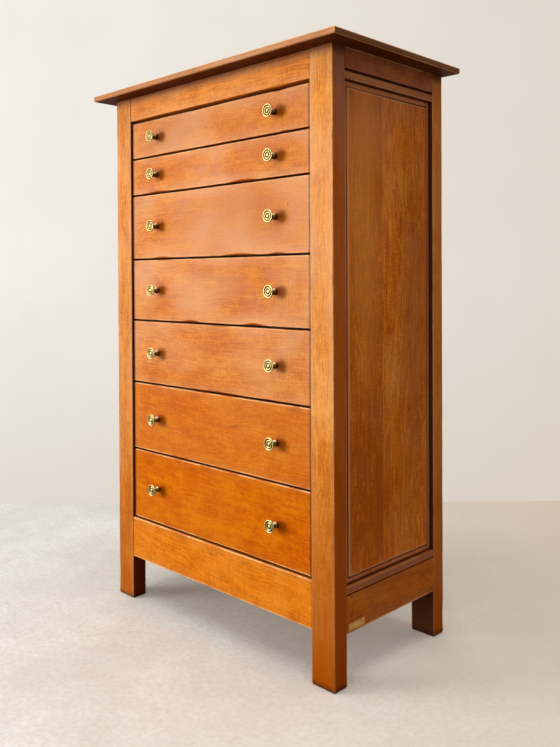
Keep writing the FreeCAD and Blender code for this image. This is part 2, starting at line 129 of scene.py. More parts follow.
def figure(tree, grain, seed, glued=None):
    """The figure of a sawn board, each part about 0.5: growth lines, streaks, fibres, mottle, and
    the strokes that a plane has left across the grain. The grain is turned to x, and what follows
    it is drawn out along x."""
    place = add(tree, "TexCoord", {}, "Object")
    spot = add(tree, "Mapping", {"Vector": place, "Rotation": ALONG[grain],
                                 "Location": (seed * 1.7, seed * 0.61, seed * 0.37)})
    board = None
    if glued:
        board = glued_up(tree, place, *glued)
        spot = add(tree, "VectorMath", {0: board, 1: (3.0, 0.9, 0.5), 2: spot},
                   operation="MULTIPLY_ADD")
    slow = add(tree, "VectorMath", {0: spot, 1: (0.3, 1, 1)}, operation="MULTIPLY")
    sway = add(tree, "TexNoise", {"Vector": slow, "Scale": 1 / (110 * MM), "Detail": 3.0}, "Color")
    bent = add(tree, "VectorMath", {0: sway, 1: (0, LINE_WANDER, LINE_WANDER), 2: slow},
               operation="MULTIPLY_ADD")
    lines = add(tree, "TexWave", {"Vector": bent, "Scale": WAVE_PITCH / RING_PITCH,
                                  "Distortion": 1.0, "Detail": 2.0}, "Fac",
                wave_type="BANDS", bands_direction="Z", wave_profile="SIN")
    thin = add(tree, "VectorMath", {0: bent, 1: (0.16, 1, 1)}, operation="MULTIPLY")
    streaks = add(tree, "TexNoise", {"Vector": thin, "Scale": 1 / (8 * MM), "Detail": 4.0}, "Fac")
    fibres = add(tree, "TexNoise", {"Vector": thin, "Scale": 1 / (2.6 * MM), "Detail": 2.0}, "Fac")
    squat = add(tree, "VectorMath", {0: spot, 1: (0.6, 1, 1)}, operation="MULTIPLY")
    mottle = add(tree, "TexNoise", {"Vector": squat, "Scale": 1 / (42 * MM), "Detail": 6.0,
                                    "Roughness": 0.6}, "Fac")
    cloud = add(tree, "TexNoise", {"Vector": squat, "Scale": 1 / (130 * MM), "Detail": 2.0}, "Fac")
    grit = add(tree, "TexNoise", {"Vector": spot, "Scale": 1 / (5 * MM), "Detail": 4.0}, "Fac")
    stroke = add(tree, "VectorMath", {0: spot, 1: (1, 0.14, 0.14)}, operation="MULTIPLY")
    planed = add(tree, "TexNoise", {"Vector": stroke, "Scale": 1 / (4 * MM), "Detail": 2.0}, "Fac")
    return dict(place=place, board=board, lines=lines, streaks=streaks, fibres=fibres,
                mottle=mottle, cloud=cloud, grit=grit, planed=planed, squat=squat)


def arris_gap(tree, place, low, high):
    """How far a point on a squared board lies from the nearest arris, in metres."""
    middle = add(tree, "VectorMath", {0: place, 1: (low + high) / 2}, operation="SUBTRACT")
    out = add(tree, "VectorMath", {0: middle}, operation="ABSOLUTE")
    gaps = add(tree, "VectorMath", {0: (high - low) / 2, 1: out}, operation="SUBTRACT")
    x, y, z = add(tree, "SeparateXYZ", {0: gaps}, ["X", "Y", "Z"])
    lesser = add(tree, "Math", {0: x, 1: y}, operation="MINIMUM")
    greater = add(tree, "Math", {0: x, 1: y}, operation="MAXIMUM")
    inner = add(tree, "Math", {0: greater, 1: z}, operation="MINIMUM")
    return add(tree, "Math", {0: lesser, 1: inner}, operation="MAXIMUM")


def marked(tree, place, colour, marks, turn=0.0):
    """Lays marks on a face: each a middle across and up, a half length and half width in
    millimetres, a lean in degrees, a hex colour and a strength. They fade out all round. The turn
    brings a side's y to where a front's x is."""
    if turn:
        place = add(tree, "VectorRotate", {"Vector": place, "Angle": turn}, rotation_type="Z_AXIS")
    for across, up, half_long, half_wide, lean, code, strength in marks:
        local = add(tree, "Mapping", {"Vector": place, "Location": (across * MM, 0, up * MM),
                                      "Rotation": (0, math.radians(-lean), 0),
                                      "Scale": (half_long * MM, ANY_DEPTH, half_wide * MM)},
                    vector_type="TEXTURE")
        off = add(tree, "VectorMath", {0: local}, "Value", operation="LENGTH")
        there = add(tree, "MapRange", {0: off, 1: 0.3, 2: 1.0, 3: strength, 4: 0.0})
        colour = add(tree, "Mix", {0: there, 6: colour, 7: linear(code)}, 2, data_type="RGBA")
    return colour


def weighed(tree, parts):
    """A sum of figures, each with its weight."""
    total = 0.0
    for value, weight in parts:
        total = add(tree, "Math", {0: value, 1: weight, 2: total}, operation="MULTIPLY_ADD")
    return total


def three_toned(tree, parts, tone, below, above):
    """The colour of a weighed figure: ripe at its mean, deep so far below it, pale so far above."""
    tint = weighed(tree, parts)
    mean = sum(weight for value, weight in parts) / 2
    low_half = add(tree, "MapRange", {0: tint, 1: mean - below, 2: mean})
    high_half = add(tree, "MapRange", {0: tint, 1: mean, 2: mean + above})
    colour = add(tree, "Mix", {0: low_half, 6: linear(tone["deep"]), 7: linear(tone["ripe"])}, 2,
                 data_type="RGBA")
    return add(tree, "Mix", {0: high_half, 6: colour, 7: linear(tone["pale"])}, 2, data_type="RGBA")


def shut_in(tree, reach, closed, clear, strength):
    """How far a place is shut in by what stands within reach of it: dust, dirt and tarnish lie there,
    and shade is painted there.
    """
    daylight = add(tree, "AmbientOcclusion", {"Distance": reach}, "AO", samples=8)
    return add(tree, "MapRange", {0: daylight, 1: closed, 2: clear, 3: strength, 4: 0.0})


def turned_to(tree, colour, way, code, strength):
    """Lays a colour on the faces that are turned one way, and gives its share there too."""
    normal = add(tree, "NewGeometry", {}, "True Normal")
    facing = add(tree, "VectorMath", {0: normal, 1: way}, "Value", operation="DOT_PRODUCT")
    there = add(tree, "MapRange", {0: facing, 1: 0.75, 2: 0.95, 3: 0.0, 4: strength})
    return add(tree, "Mix", {0: there, 6: colour, 7: linear(code)}, 2, data_type="RGBA"), there


def rubbed_lit_arrises(tree, colour, gap, mottle, rub):
    """Arrises rubbed down to pale wood, which also paints their highlights: more in some places than in
    others, and not on undersides, which face away from the light.
    """
    patches = add(tree, "MapRange", {0: mottle, 1: 0.4, 2: 0.5, 3: 0.3, 4: 1.0})
    rubbed = add(tree, "MapRange", {0: gap, 1: 1.6 * MM, 2: 3.4 * MM, 3: rub, 4: 0.0})
    rubbed = add(tree, "Math", {0: rubbed, 1: patches}, operation="MULTIPLY")
    normal = add(tree, "NewGeometry", {}, "True Normal")
    upward = add(tree, "SeparateXYZ", {0: normal}, "Z")
    not_under = add(tree, "Math", {0: upward, 1: -0.2}, operation="GREATER_THAN")
    rubbed = add(tree, "Math", {0: rubbed, 1: not_under}, operation="MULTIPLY")
    return add(tree, "Mix", {0: rubbed, 6: colour, 7: linear(BARE_LIT_ARRIS)}, 2, data_type="RGBA")


def round_a_field(tree, colour, place, field, tone):
    """The step round a raised field: a hazy border that is partly painted sheen, dirt and painted shade
    at the foot, and a rubbed arris on top that is also a painted highlight.
    """
    step = arris_gap(tree, place, *field)
    outside = add(tree, "Math", {0: step, 1: -0.5 * MM}, operation="LESS_THAN")
    border = add(tree, "Math", {0: outside, 1: 0.5}, operation="MULTIPLY")
    colour = add(tree, "Mix", {0: border, 6: colour, 7: linear(tone["bloom_and_sheen"])}, 2, data_type="RGBA")
    foot = add(tree, "MapRange", {0: step, 1: -5 * MM, 2: -3.4 * MM, 3: 0.0, 4: 0.9})
    below = add(tree, "Math", {0: step, 1: -0.15 * MM}, operation="LESS_THAN")
    foot = add(tree, "Math", {0: foot, 1: below}, operation="MULTIPLY")
    colour = add(tree, "Mix", {0: foot, 6: colour, 7: linear(tone["grime_and_shade"])}, 2, data_type="RGBA")
    past = add(tree, "Math", {0: step, 1: 1.2 * MM}, operation="SUBTRACT")
    off = add(tree, "Math", {0: past}, operation="ABSOLUTE")
    arris = add(tree, "MapRange", {0: off, 1: 1.2 * MM, 2: 2.6 * MM, 3: 0.8, 4: 0.0})
    return add(tree, "Mix", {0: arris, 6: colour, 7: linear(BARE_LIT_STEP)}, 2, data_type="RGBA")


def pitted(tree, colour, wood, grime_and_shade):
    """Small dark pits, about 15 mm apart, in some places and not in others."""
    off = add(tree, "TexVoronoi", {"Vector": wood["squat"], "Scale": 1 / (15 * MM)}, "Distance")
    pits = add(tree, "MapRange", {0: off, 1: 0.04, 2: 0.1, 3: 1.0, 4: 0.0})
    some = add(tree, "MapRange", {0: wood["cloud"], 1: 0.5, 2: 0.6, 3: 0.0, 4: 0.6})
    pits = add(tree, "Math", {0: pits, 1: some}, operation="MULTIPLY")
    return add(tree, "Mix", {0: pits, 6: colour, 7: linear(grime_and_shade)}, 2, data_type="RGBA")


def waxed_cherry(name, grain, seed, box=None, tone=CHERRY, glued=None, marks=(), field=None,
                 bold=1.0, mottled=1.1, dull_faces=(), darkened_low=0.0, rub=0.6):
    """Cherry, planed by hand and waxed: warm and close-grained, with a soft sheen that is hazy where
    the wax has bloomed or hands have been, part of that haze painted into its colour as sheen, dark
    with dust and painted shade in its corners, and rubbed pale on its arrises, which are painted as
    highlights too."""
    material, tree = new_material(name)
    wood = figure(tree, grain, seed, glued)
    parts = [(wood["streaks"], 0.6 * bold), (wood["mottle"], mottled), (wood["lines"], 0.12),
             (wood["fibres"], 0.75 * bold), (wood["grit"], 0.6), (wood["planed"], 0.35),
             (wood["cloud"], 0.5)]
    if glued:
        parts.append((add(tree, "SeparateColor", {0: wood["board"]}), 0.5))
    colour = three_toned(tree, parts, tone, CHERRY_REACH, CHERRY_REACH)

    film = add(tree, "MapRange", {0: wood["cloud"], 1: 0.42, 2: 0.68, 3: 0.0, 4: tone["haze"]})
    if box:
        gap = arris_gap(tree, wood["place"], *box)
        handled = add(tree, "MapRange", {0: gap, 1: 0.0, 2: HANDLED_REACH, 3: 0.3, 4: 0.0},
                      interpolation_type="SMOOTHSTEP")
        film = add(tree, "Math", {0: film, 1: handled}, operation="ADD")
    # Part of the haze is painted into the colour as sheen, along with the milky bloom of the wax.
    milky_sheen = add(tree, "Math", {0: film, 1: 0.65}, operation="MULTIPLY")
    colour = add(tree, "Mix", {0: milky_sheen, 6: colour, 7: linear(tone["bloom_and_sheen"])}, 2, data_type="RGBA")

    matt = 0.0
    if darkened_low:
        # Darker and duller towards the floor.
        rise = add(tree, "SeparateXYZ", {0: wood["place"]}, "Z")
        matt = add(tree, "MapRange", {0: rise, 1: DARKENED_TO, 2: 0.0, 3: 0.0, 4: darkened_low})
        colour = add(tree, "Mix", {0: matt, 6: colour, 7: linear(LOW_DARKENING)}, 2, data_type="RGBA")
    for way, code, strength in dull_faces:
        colour, there = turned_to(tree, colour, way, code, strength)
        matt = add(tree, "Math", {0: matt, 1: there}, operation="MAXIMUM")
    if darkened_low:
        mopped = add(tree, "MapRange", {0: rise, 1: MOPPED_TO, 2: WET_TO, 3: 0.0, 4: 0.75})
        colour = add(tree, "Mix", {0: mopped, 6: colour, 7: linear(MOP_DIRT)}, 2, data_type="RGBA")
    if box:
        colour = rubbed_lit_arrises(tree, colour, gap, wood["mottle"], rub)
    if field:
        colour = round_a_field(tree, colour, wood["place"], field, tone)
    colour = pitted(tree, colour, wood, tone["grime_and_shade"])
    colour = marked(tree, wood["place"], colour, marks, 0.0 if grain == "x" else -math.pi / 2)
    # Dust, and painted shade, in the corners.
    dust_and_shade = shut_in(tree, DUST_AND_SHADE_REACH, 0.1, 0.66, 0.97)
    colour = add(tree, "Mix", {0: dust_and_shade, 6: colour, 7: linear(tone["grime_and_shade"])}, 2, data_type="RGBA")

    matt = add(tree, "Math", {0: matt, 1: dust_and_shade}, operation="MAXIMUM")
    bare = add(tree, "MapRange", {0: matt, 1: 0.0, 2: 1.0, 3: tone["sheen"], 4: 0.0})
    glossy = add(tree, "Math", {0: film, 1: 2.4, 2: 1.0}, operation="MULTIPLY_ADD")
    sheen = add(tree, "Math", {0: bare, 1: glossy}, operation="MULTIPLY")
    rough = add(tree, "MapRange", {0: wood["mottle"], 1: 0.35, 2: 0.65, 3: 0.34, 4: 0.46})
    height = weighed(tree, [(wood["fibres"], 0.4), (wood["planed"], 0.25), (wood["mottle"], 1.0)])
    bump = add(tree, "Bump", {"Strength": 0.5, "Distance": 0.5 * MM, "Height": height}, "Normal")
    shader = add(tree, "BsdfPrincipled", {"Base Color": colour, "Roughness": rough, "Normal": bump,
                                          "IOR": WOOD_IOR, "Specular Tint": linear(WAX_TINT),
                                          "Specular IOR Level": tone["sheen"]}, None)
    # An exported model drops this link and keeps the plain value above.
    tree.links.new(sheen, shader.inputs["Specular IOR Level"])
    add(tree, "OutputMaterial", {0: shader.outputs[0]}, None)
    return material


def on_the_bench(name):
    """A working copy of a CAD node, its loose triangles joined and its flat faces made whole."""
    bm = bmesh.new()
    bm.from_mesh(nodes[name].data)
    bmesh.ops.remove_doubles(bm, verts=bm.verts, dist=WELD)
    bmesh.ops.dissolve_limit(bm, angle_limit=math.radians(1), verts=bm.verts[:], edges=bm.edges[:])
    return bm


def scallops(dips, base, seed=0):
    """How deep an arris is worn along its length, in metres: shallow hollows, each given as middle,
    half length and depth in millimetres, over a base that wanders from place to place."""
    def depth(s):
        worn = base * (1 + 0.5 * noise.noise(Vector((s * WANDER, base * 3, seed))))
        for middle, half, deep in dips:
            off = abs(s / MM - middle) / half
            worn += deep * (0.5 + 0.5 * math.cos(math.pi * off)) if off < 1 else 0.0
        return worn * MM
    return depth


def wear(bm, along, corner, inward, depth):
    """Wears a long eased arris unevenly: depth gives how much wood is gone at a place along it."""
    across = [i for i in range(3) if i != along]

    def gaps(vert):
        return [(vert.co[i] - corner[i]) * inward[i] for i in across]

    def on_ease(vert):
        return all(-SLACK < gap < EASED + SLACK for gap in gaps(vert))

    def run(edge):
        return abs(edge.verts[0].co[along] - edge.verts[1].co[along])

    ease = [e for e in bm.edges if all(on_ease(v) for v in e.verts)]
    long_edges = [e for e in ease if run(e) > 4 * STATION]
    cuts = int(long_edges[0].calc_length() / STATION)
    bmesh.ops.subdivide_edges(bm, edges=long_edges, cuts=cuts, use_grid_fill=True)
    rungs = [e for e in bm.edges if all(on_ease(v) for v in e.verts) and run(e) < STATION / 4]
    bmesh.ops.subdivide_edges(bm, edges=rungs, cuts=1, use_grid_fill=True)
    for vert in bm.verts:
        if on_ease(vert):
            pair = gaps(vert)
            share = depth(vert.co[along]) / EASED
            share *= ROUNDING if min(pair) > 0.2 * EASED else 1.0
            for i, gap in zip(across, pair):
                vert.co[i] = corner[i] + inward[i] * gap * share


def placed(bm, name, material):
    """Makes a bmesh an object of the scene, in its material."""
    mesh = bpy.data.meshes.new(name)
    bm.to_mesh(mesh)
    bm.free()
    made = bpy.data.objects.new(name, mesh)
    bpy.context.scene.collection.objects.link(made)
    mesh.materials.append(material)
    return made


def finish_piece(bm, name, body, material, slot, *stands_for):
    """Makes a bmesh a finished piece that rides on its body and stands for CAD nodes."""
    piece = placed(bm, name, material)
    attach(piece, body)
    if stands_for:
        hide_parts(*stands_for)
    return piece


def dress(name, material):
    """Gives a CAD node that is shown as it is its material."""
    nodes[name].data.materials.clear()
    nodes[name].data.materials.append(material)


POST_WEAR = {  # hollows along each outer arris, from the floor up
    "front_right_post": [(1180, 60, 1.0), (870, 150, 0.8), (300, 110, 1.6), (520, 60, 1.2), (30, 40, 1.5)],
    "front_left_post": [(1240, 80, 0.8), (640, 120, 0.9), (60, 70, 1.4)],
    "rear_right_post": [(990, 120, 0.8), (40, 50, 1.6)],
    "rear_left_post": [(500, 160, 0.8), (40, 50, 1.2)],
}
SHADE_UNDER_TOP = [(0, 1384, 3000, 26, 0, "642404", 0.75)]  # painted shade of the top's overhang, darkest just below it
FRONT_FLANK_DARK, REAR_FLANK_DARK = "A64602", "B65200"  # darker and duller on the outer sides of the front and rear posts
DRAWER_SIDE_SHADE, PANEL_RECESS_SHADE = "5A1C00", "4C2A1C"  # painted shade, with some dust, on the sides that face the drawers and a panel
POST_HEAD_SHEEN = [(-166, 1400, 24, 340, 0, "AA766A", 0.6)]  # a painted pale mauve sheen high on the sides of the front posts
for number, (name, hollows) in enumerate(POST_WEAR.items()):
    low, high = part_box(name)
    on_right = high.x > 0
    outward = 1 if on_right else -1
    outer = [high.x if on_right else low.x, low.y if low.y < 0 else high.y, 0]
    inward = [-outward, 1 if low.y < 0 else -1, 0]
    post = on_the_bench(name)
    wear(post, 2, outer, inward, scallops(hollows, 1.5, number))
    if name.startswith("rear"):
        dull = [((outward, 0, 0), REAR_FLANK_DARK, 0.5), ((0, -1, 0), PANEL_RECESS_SHADE, 0.95)]
    else:
        dull = [((outward, 0, 0), FRONT_FLANK_DARK, 0.78), ((-outward, 0, 0), DRAWER_SIDE_SHADE, 0.9)]
    wood = waxed_cherry(name + "_cherry", "z", 1.3 + number, (low, high),
                        POST_CHERRY if on_right else DARKER_POST, marks=POST_HEAD_SHEEN + SHADE_UNDER_TOP,
                        bold=1.3, dull_faces=dull, darkened_low=0.95 if on_right else 0.6, rub=0.14)
    finish_piece(post, "worn_" + name, "carcass", wood, "frame_wood", name)


# --- Rails -----------------------------------------------------------------------------------
# Cherry rails tenoned into the posts: a top rail and an apron at the front, moulded rails above
# and below each side panel, and two plain ones at the back.

APRON_CHERRY = dict(CHERRY, pale="EA8E20", ripe="DE7C0C", deep="C46604", bloom_and_sheen="CC7C30", haze=0.2,
                    sheen=0.05)
TOP_RAIL_CHERRY = dict(CHERRY, pale="F49C3C", ripe="E6861E", deep="C86C14", bloom_and_sheen="D28A48", haze=0.2,
                       sheen=0.1)
# The side top rails: darker and greyer than the panels below them.
SIDE_TOP_RAIL_CHERRY = dict(CHERRY, pale="CC742E", ripe="AC582A", deep="86401A", bloom_and_sheen="8E4E38", sheen=0.06)
LOW_RAIL = dict(CHERRY, pale="CA7214", ripe="BC6006", deep="A04A02", bloom_and_sheen="9A5A34", haze=0.25, sheen=0.06)
GROOVE_SHADE = "120300"  # nearly black: painted shade, with wax and dust, in a quirk or a groove
# Above a panel, a painted highlight on the moulding's strip and painted shade in its quirk; below, a painted
# mauve reflection on the strip.
QUIRK_LIGHT_AND_SHADE = {"top": [(-60, 1326, 240, 9, 0, "C47C40", 0.85), (0, 1335, 600, 4.6, 0, GROOVE_SHADE, 0.95)],
              "bottom": [(0, 208, 600, 11, 0, "8A5444", 0.6)]}
FRONT_RAILS = {  # worn edge, its wear, tone, how far the arris is rubbed and painted pale as a highlight, seed
    "front_top_rail": ("lower", scallops([(236, 46, 3.2), (90, 90, 1.2), (-190, 110, 0.8)], 1.0),
                       TOP_RAIL_CHERRY, 0.3, 11.2),
    "front_apron": ("upper", scallops([(-250, 60, 1.4), (-20, 95, 2.8), (110, 60, 1.6), (265, 50, 1.2)], 1.6),
                    APRON_CHERRY, 1.0, 12.7),
}
for name, (edge, depth, tone, rub, seed) in FRONT_RAILS.items():
    low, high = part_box(name)
    level, inward = (low.z, 1) if edge == "lower" else (high.z, -1)
    rail = on_the_bench(name)
    wear(rail, 0, [0, low.y, level], [0, 1, inward], depth)
    wood = waxed_cherry(name + "_cherry", "x", seed, (low, high), tone, marks=SHADE_UNDER_TOP, rub=rub)
    finish_piece(rail, "worn_" + name, "carcass", wood, "frame_wood", name)
for number, (level, tone) in enumerate((("top", SIDE_TOP_RAIL_CHERRY), ("bottom", LOW_RAIL))):
    for side in ("right", "left"):
        name = f"{side}_side_{level}_rail"
        dress(name, waxed_cherry(name + "_cherry", "y", 21.4 + number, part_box(name), tone, bold=0.7,
                                 marks=QUIRK_LIGHT_AND_SHADE[level]))
for number, name in enumerate(("rear_top_rail", "rear_bottom_rail")):
    dress(name, waxed_cherry(name + "_cherry", "x", 31.9 + number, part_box(name)))


# --- Side panels -----------------------------------------------------------------------------
# Raised and fielded panels of cherry boards glued edge to edge, held in grooves so that they can
# swell and shrink. The step round the field is dark at its foot, with dirt and painted shade, and
# pale on its arris, rubbed and painted as a highlight.

PANEL_CHERRY = dict(CHERRY, pale="F0962C", ripe="DC720A", deep="B45404", bloom_and_sheen="C07C5C", haze=0.3,
                    sheen=0.05)
# A painted mauve sheen near the top, and lighter and darker streaks where the boards have faded unevenly.
SHEEN_AND_FADED_STREAKS = [(-60, 1230, 120, 150, 0, "D08458", 0.45), (60, 1275, 140, 50, 0, "8A5448", 0.2),
             (-30, 400, 160, 260, 0, "A44A00", 0.4), (-75, 1000, 80, 480, 0, "F29A38", 0.4),
             (120, 800, 90, 700, 0, "8A3C06", 0.45)]
# Painted shade, with some dust, in the mouths of the four grooves: above, below, behind and in front.
GROOVE_MOUTH_SHADE = [(0, 1317, 600, 6, 0, GROOVE_SHADE, 1.0), (0, 217, 600, 7, 0, "1E0800", 0.9),
              (184, 766, 4, 3000, 0, GROOVE_SHADE, 0.9), (-149, 766, 5, 3000, 0, "220A00", 0.8)]
TONGUE_AND_BORDER = 27 * MM
PANEL_JOINT, PANEL_BOARD = -10 * MM, 170 * MM  # where two boards meet, and how wide a board is
FAR_OFF = 9.0  # a step measured from here counts only across the panel and up it
for number, name in enumerate(("right_side_panel", "left_side_panel")):
    low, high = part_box(name)
    field_low = Vector((FAR_OFF, low.y + TONGUE_AND_BORDER, low.z + TONGUE_AND_BORDER))
    field_high = Vector((FAR_OFF, high.y - TONGUE_AND_BORDER, high.z - TONGUE_AND_BORDER))
    dress(name, waxed_cherry(name + "_cherry", "z", 41.1 + number, tone=PANEL_CHERRY, bold=1.1,
                             mottled=0.45, glued=("Y", PANEL_JOINT, PANEL_BOARD),
                             marks=SHEEN_AND_FADED_STREAKS + GROOVE_MOUTH_SHADE, field=(field_low, field_high)))


# --- Dividers, runners and guides --------------------------------------------------------------
# The skeleton that the drawers slide on, of plain poplar that never sees wax. The dividers hide
# behind the drawer fronts, and their front edges are painted nearly black as the shade in the gaps.

POPLAR = dict(pale="D8B27C", ripe="C49A62", deep="A87E4A", grime_and_shade="4A3018")
POPLAR_REACH = (0.4, 0.45)  # of the figure below and above its mean
POPLAR_DUST_AND_SHADE_REACH = 18 * MM


def raw_poplar(name, grain, seed, tone=POPLAR, dull_faces=(), boards=None):
    """Bare poplar, unfinished: pale, dry and matt, with wide rings and a little dust and painted shade
    in its corners.
    """
    material, tree = new_material(name)
    wood = figure(tree, grain, seed, boards)
    parts = [(wood["lines"], 0.3), (wood["streaks"], 1.2), (wood["mottle"], 0.8)]
    if boards:
        parts.append((add(tree, "SeparateColor", {0: wood["board"]}), 0.7))
    colour = three_toned(tree, parts, tone, *POPLAR_REACH)
    for way, code, strength in dull_faces:
        colour = turned_to(tree, colour, way, code, strength)[0]
    dust_and_shade = shut_in(tree, POPLAR_DUST_AND_SHADE_REACH, 0.2, 0.9, 0.6)
    colour = add(tree, "Mix", {0: dust_and_shade, 6: colour, 7: linear(tone["grime_and_shade"])}, 2, data_type="RGBA")
    bump = add(tree, "Bump", {"Strength": 0.4, "Distance": 0.2 * MM, "Height": wood["fibres"]}, "Normal")
    shader = add(tree, "BsdfPrincipled", {"Base Color": colour, "Roughness": 0.72, "Normal": bump,
                                          "IOR": WOOD_IOR, "Specular IOR Level": 0.1})
    add(tree, "OutputMaterial", {0: shader}, None)
    return material


# Painted nearly black, as the shade in the gaps between the drawer fronts.
SHADE_BEHIND_GAPS = ((0, -1, 0), "240A02", 0.95)
dress("drawer_dividers", raw_poplar("divider_poplar", "x", 51.0, dict(POPLAR, grime_and_shade="140400"),
                                    dull_faces=[SHADE_BEHIND_GAPS]))
dress("drawer_runners", raw_poplar("runner_poplar", "y", 52.0))


# --- Back --------------------------------------------------------------------------------------
# Five thin upright poplar boards in a rebate round the back, with gaps for the weather, and two
# cut nails through each board into each rear rail. They have gone brown with age.

AGED_POPLAR = dict(pale="C89C66", ripe="A87A4A", deep="80552F", grime_and_shade="2E1A0C")
BACK_BOARDS, NAIL_SPREAD, NAIL_HEAD, NAIL_PROUD = 5, 80 * MM, 2.8 * MM, 0.5 * MM
back_low, back_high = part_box("back_boards")
board_width = (back_high.x - back_low.x) / BACK_BOARDS
dress("back_boards", raw_poplar("aged_poplar", "z", 61.0, AGED_POPLAR,
                                boards=("X", back_low.x, board_width)))

# Rusted iron: small dark dull specks, brown rather than grey.
nail_iron, tree = new_material("rusted_iron")
place = add(tree, "TexCoord", {}, "Object")
rust = add(tree, "TexNoise", {"Vector": place, "Scale": 1 / (1.5 * MM), "Detail": 4.0}, "Fac")
colour = add(tree, "Mix", {0: rust, 6: linear("2B2421"), 7: linear("6A3F28")}, 2, data_type="RGBA")
eaten = add(tree, "Bump", {"Strength": 0.6, "Distance": 0.1 * MM, "Height": rust}, "Normal")
shader = add(tree, "BsdfPrincipled", {"Base Color": colour, "Metallic": 0.6, "Roughness": 0.65,
                                      "Normal": eaten})
add(tree, "OutputMaterial", {0: shader}, None)

nails = bmesh.new()
for rail in ("rear_bottom_rail", "rear_top_rail"):
    rail_low, rail_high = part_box(rail)
    height = (rail_low.z + rail_high.z) / 2
    for number in range(BACK_BOARDS):
        middle = back_low.x + (number + 0.5) * board_width
        for x in (middle - NAIL_SPREAD / 2, middle + NAIL_SPREAD / 2):
            bmesh.ops.create_cone(nails, cap_ends=True, segments=12, radius1=NAIL_HEAD,
                                  radius2=NAIL_HEAD * 0.8, depth=2 * NAIL_PROUD,
                                  matrix=Matrix.Translation((x, back_high.y, height))
                                  @ Matrix.Rotation(-math.pi / 2, 4, "X"))
finish_piece(nails, "back_board_nails", "carcass", nail_iron, "back_wood")


# --- Top ---------------------------------------------------------------------------------------
# One thin oversailing top, glued up from cherry boards with the grain running left to right.
# Its edges are rounded and rubbed, and the ends show darker end grain.

TOP_CHERRY = dict(CHERRY, pale="E0924E", ripe="CE8240", deep="AC682E", bloom_and_sheen="BC8C68")
END_GRAIN = [((1, 0, 0), "63402E", 0.85), ((-1, 0, 0), "63402E", 0.85)]
# Painted shade on the underside of the top.
SHADED_UNDERSIDE = ((0, 0, -1), "50200A", 0.92)
TOP_JOINT, TOP_BOARD = 0.0, 160 * MM
dress("top_board", waxed_cherry("top_cherry", "x", 71.0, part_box("top_board"), TOP_CHERRY,
                                glued=("Y", TOP_JOINT, TOP_BOARD), dull_faces=END_GRAIN + [SHADED_UNDERSIDE],
                                bold=0.8, mottled=0.6, rub=0.3))


# --- Drawer boxes ------------------------------------------------------------------------------
# Dovetailed boxes of pale poplar with solid bottoms that slide into grooves from behind.
# The wood is bare and has yellowed a little with age.

DRAWERS = range(1, 8)
BOX_POPLAR = dict(pale="E2C294", ripe="D2AC78", deep="BA905A", grime_and_shade="5A4024")
for number in DRAWERS:
    drawer = f"drawer_{number}"
    dress(drawer + "_right_side", raw_poplar(drawer + "_right_poplar", "y", 81.3 + number, BOX_POPLAR))
    dress(drawer + "_left_side", raw_poplar(drawer + "_left_poplar", "y", 91.6 + number, BOX_POPLAR))
    dress(drawer + "_back", raw_poplar(drawer + "_back_poplar", "x", 101.2 + number, BOX_POPLAR))
    dress(drawer + "_bottom", raw_poplar(drawer + "_bottom_poplar", "x", 111.9 + number, BOX_POPLAR))


# --- Drawer fronts -----------------------------------------------------------------------------
# Plain slabs of cherry, let in between the posts with narrow gaps and lapped over the dividers.
# Hands have worn long shallow scallops in their upper and lower edges.

UPPER_WEAR = {
    1: scallops([(236, 32, 4.0), (-60, 110, 0.8)], 1.0),
    2: scallops([(-180, 90, 0.8), (200, 70, 0.8)], 0.9),
    3: scallops([(-120, 90, 0.7)], 0.9),
    4: scallops([(-202, 54, 3.0), (150, 80, 0.6)], 0.9),
    5: scallops([(26, 58, 3.4), (-200, 80, 0.8)], 1.2),
    6: scallops([(-40, 62, 2.6), (60, 60, 3.6), (220, 90, 1.2)], 1.9),
    7: scallops([(-225, 46, 2.2), (-140, 50, 2.4), (50, 62, 3.4), (180, 62, 3.8), (290, 36, 1.6)], 2.2),
}
LOWER_WEAR = {
    1: scallops([(255, 18, 1.8), (-150, 120, 0.6)], 0.9),
    2: scallops([(-219, 70, 3.4), (113, 66, 4.2)], 0.9),
    3: scallops([(-202, 54, 3.0), (101, 78, 3.8), (228, 36, 3.2)], 0.9),
    4: scallops([(-83, 52, 4.4), (150, 50, 4.6)], 1.0),
    5: scallops([(25, 130, 2.0), (205, 60, 1.2)], 1.0),
    6: scallops([(-120, 120, 0.9)], 0.9),
    7: scallops([(90, 120, 0.9)], 0.9),
}
SCRATCH, CRACK, PALE = "F0B078", "4A1E0A", "DCAC80"
